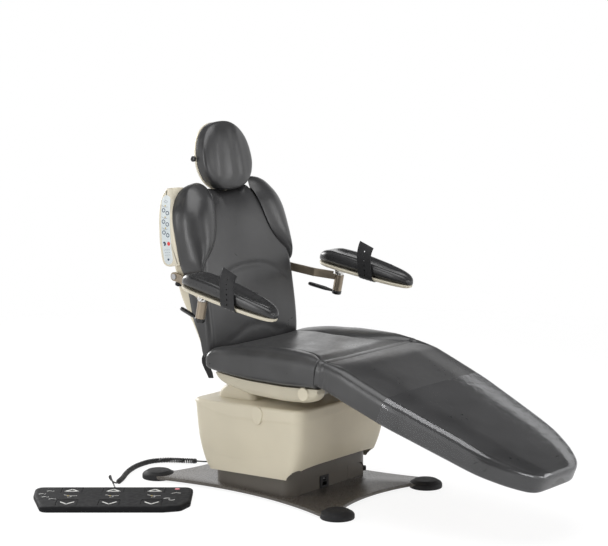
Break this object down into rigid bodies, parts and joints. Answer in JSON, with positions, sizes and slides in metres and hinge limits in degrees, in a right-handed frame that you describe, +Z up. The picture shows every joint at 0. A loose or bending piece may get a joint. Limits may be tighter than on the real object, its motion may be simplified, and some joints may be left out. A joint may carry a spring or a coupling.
{
  "type": "oral surgery chair",
  "caption": "Powered oral surgery chair on a flat steel base, with seat and sloping leg section, reclining back with side bolsters, headrest, two strapped arm boards and a corded foot control.",
  "frame": {"origin": "point of the floor under the centre of the base plate", "axes": "+Z up, -Y towards the foot end of the leg section, +X to the right of a camera that looks from the foot end (the patient's left)"},
  "size_m": [1.363, 1.8433, 1.3752],
  "materials": {
    "steel_dark": "satin textured grey-brown paint",
    "rubber_black": "matte black rubber",
    "taupe_plastic": "fine matte grain",
    "beige_plastic": "fine matte grain",
    "black_plastic": "matte black",
    "steel_bare": "ground steel",
    "chrome": "polished",
    "vinyl": "soft charcoal upholstery",
    "clear_vinyl": "clear glossy sheet",
    "board": "plain plywood",
    "bronze_metal": "satin champagne lacquer",
    "panel_film": "printed film",
    "key_rubber": "matte black rubber",
    "stop_key": "matte red",
    "cord_rubber": "black rubber sheath"
  },
  "bodies": {
    "base": {"base_plate": "steel_dark", "foot_caps": "rubber_black", "lower_shroud": "taupe_plastic", "access_panel": "taupe_plastic", "power_inlet": "black_plastic", "cable_grommet": "rubber_black", "lift_column": "steel_bare", "lift_motor": "steel_bare", "cord_gland": "rubber_black", "pedal_cord": "cord_rubber", "pedal_case": "black_plastic"},
    "rocker": {"power_rocker": "black_plastic"},
    "key_lift_up": {"pedal_key_lift_up": "key_rubber"},
    "key_lift_down": {"pedal_key_lift_down": "key_rubber"},
    "key_back_up": {"pedal_key_back_up": "key_rubber"},
    "key_back_down": {"pedal_key_back_down": "key_rubber"},
    "key_tilt_up": {"pedal_key_tilt_up": "key_rubber"},
    "key_tilt_down": {"pedal_key_tilt_down": "key_rubber"},
    "stop_key": {"pedal_stop_key": "stop_key"},
    "housing": {"lift_piston": "chrome", "upper_housing": "beige_plastic", "housing_caps": "beige_plastic", "neck_cover": "beige_plastic", "tilt_bracket": "steel_bare", "tilt_pins": "chrome"},
    "jack": {"tilt_jack": "chrome"},
    "seat": {"seat_pan": "beige_plastic", "pivot_covers": "beige_plastic", "seat_frame": "steel_bare", "seat_board": "board", "seat_cushion": "vinyl", "seat_pins": "chrome"},
    "leg": {"leg_frame": "steel_bare", "leg_cushion": "vinyl", "foot_cover": "clear_vinyl"},
    "back": {"back_frame": "steel_bare", "back_shell": "beige_plastic", "back_cushion": "vinyl", "panel_housing": "beige_plastic", "panel_face": "panel_film"},
    "headrest_stem": {"headrest_bars": "chrome"},
    "headrest": {"headrest_shell": "beige_plastic", "headrest_cushion": "vinyl"},
    "headrest_lock": {"headrest_knob": "black_plastic"},
    "left_arm": {"left_arm_bar": "bronze_metal"},
    "left_knob": {"left_arm_knob": "black_plastic"},
    "left_lever": {"left_arm_lever": "black_plastic"},
    "left_post": {"left_arm_post": "chrome"},
    "left_pad": {"left_arm_tray": "beige_plastic", "left_arm_pad": "vinyl", "left_arm_strap": "rubber_black"},
    "right_arm": {"right_arm_bar": "bronze_metal"},
    "right_knob": {"right_arm_knob": "black_plastic"},
    "right_lever": {"right_arm_lever": "black_plastic"},
    "right_post": {"right_arm_post": "chrome"},
    "right_pad": {"right_arm_tray": "beige_plastic", "right_arm_pad": "vinyl", "right_arm_strap": "rubber_black"}
  },
  "joints": [
    {"name": "lift", "type": "slide", "parent": "base", "child": "housing", "axis": [0, 0, 1], "range_m": [-0.04, 0.12]},
    {"name": "seat_tilt", "type": "hinge", "parent": "housing", "child": "seat", "pos_m": [0, 0.084, 0.43], "axis": [-1, 0, 0], "range_deg": [0, 12]},
    {"name": "jack_slide", "type": "slide", "parent": "housing", "child": "jack", "axis": [0, 0, 1], "range_m": [0, 0.05]},
    {"name": "recline", "type": "hinge", "parent": "seat", "child": "back", "pos_m": [0, 0.195, 0.475], "axis": [-1, 0, 0], "range_deg": [0, 75]},
    {"name": "leg_lift", "type": "hinge", "parent": "seat", "child": "leg", "pos_m": [0, -0.352, 0.538], "axis": [-1, 0, 0], "range_deg": [0, 21]},
    {"name": "headrest_slide", "type": "slide", "parent": "back", "child": "headrest_stem", "axis": [0, 0.1908, 0.9816], "range_m": [0, 0.09]},
    {"name": "headrest_tilt", "type": "hinge", "parent": "headrest_stem", "child": "headrest", "pos_m": [0, 0.36772, 1.24825], "axis": [-1, 0, 0], "range_deg": [-3, 30]},
    {"name": "headrest_lock_turn", "type": "hinge", "parent": "headrest", "child": "headrest_lock", "pos_m": [-0.14, 0.35659, 1.23819], "axis": [-1, 0, 0], "range_deg": [0, 90]},
    {"name": "rocker_swing", "type": "hinge", "parent": "base", "child": "rocker", "pos_m": [-0.034, -0.186, 0.0528], "axis": [-1, 0, 0], "range_deg": [-8, 8]},
    {"name": "press_lift_up", "type": "slide", "parent": "base", "child": "key_lift_up", "axis": [0, 0, -1], "range_m": [0, 0.003], "stiffness_N_per_m": 3000, "springref_m": -0.002},
    {"name": "press_lift_down", "type": "slide", "parent": "base", "child": "key_lift_down", "axis": [0, 0, -1], "range_m": [0, 0.003], "stiffness_N_per_m": 3000, "springref_m": -0.002},
    {"name": "press_back_up", "type": "slide", "parent": "base", "child": "key_back_up", "axis": [0, 0, -1], "range_m": [0, 0.003], "stiffness_N_per_m": 3000, "springref_m": -0.002},
    {"name": "press_back_down", "type": "slide", "parent": "base", "child": "key_back_down", "axis": [0, 0, -1], "range_m": [0, 0.003], "stiffness_N_per_m": 3000, "springref_m": -0.002},
    {"name": "press_tilt_up", "type": "slide", "parent": "base", "child": "key_tilt_up", "axis": [0, 0, -1], "range_m": [0, 0.003], "stiffness_N_per_m": 3000, "springref_m": -0.002},
    {"name": "press_tilt_down", "type": "slide", "parent": "base", "child": "key_tilt_down", "axis": [0, 0, -1], "range_m": [0, 0.003], "stiffness_N_per_m": 3000, "springref_m": -0.002},
    {"name": "press_stop", "type": "slide", "parent": "base", "child": "stop_key", "axis": [0, 0, -1], "range_m": [0, 0.002], "stiffness_N_per_m": 1500, "springref_m": -0.002},
    {"name": "left_arm_swing", "type": "hinge", "parent": "back", "child": "left_arm", "pos_m": [-0.274, 0.34367, 0.7996], "axis": [-1, 0, 0], "range_deg": [-70, 50]},
    {"name": "left_knob_turn", "type": "hinge", "parent": "left_arm", "child": "left_knob", "pos_m": [-0.274, 0.31824, 0.79419], "axis": [0, -0.2079, 0.9781], "range_deg": [0, 270]},
    {"name": "left_lever_turn", "type": "hinge", "parent": "left_arm", "child": "left_lever", "pos_m": [-0.404, 0.08348, 0.7443], "axis": [0, -0.2079, 0.9781], "range_deg": [-40, 40]},
    {"name": "left_post_swivel", "type": "hinge", "parent": "left_arm", "child": "left_post", "pos_m": [-0.404, 0.08348, 0.7443], "axis": [0, -0.2079, 0.9781], "range_deg": [-40, 40]},
    {"name": "left_pad_tilt", "type": "hinge", "parent": "left_post", "child": "left_pad", "pos_m": [-0.404, 0.07932, 0.76386], "axis": [-1, 0, 0], "range_deg": [-8, 10]},
    {"name": "right_arm_swing", "type": "hinge", "parent": "back", "child": "right_arm", "pos_m": [0.274, 0.34367, 0.7996], "axis": [-1, 0, 0], "range_deg": [-70, 50]},
    {"name": "right_knob_turn", "type": "hinge", "parent": "right_arm", "child": "right_knob", "pos_m": [0.274, 0.31824, 0.79419], "axis": [0, -0.2079, 0.9781], "range_deg": [0, 270]},
    {"name": "right_lever_turn", "type": "hinge", "parent": "right_arm", "child": "right_lever", "pos_m": [0.404, 0.08348, 0.7443], "axis": [0, -0.2079, 0.9781], "range_deg": [-40, 40]},
    {"name": "right_post_swivel", "type": "hinge", "parent": "right_arm", "child": "right_post", "pos_m": [0.404, 0.08348, 0.7443], "axis": [0, 0.2079, -0.9781], "range_deg": [-40, 40]},
    {"name": "right_pad_tilt", "type": "hinge", "parent": "right_post", "child": "right_pad", "pos_m": [0.404, 0.07932, 0.76386], "axis": [-1, 0, 0], "range_deg": [-12, 6]}
  ],
  "couplings": [
    {"joint": "leg_lift", "follows": "recline", "ratio": 0.28},
    {"joint": "jack_slide", "follows": "seat_tilt", "m_per_rad": 0.216}
  ]
}
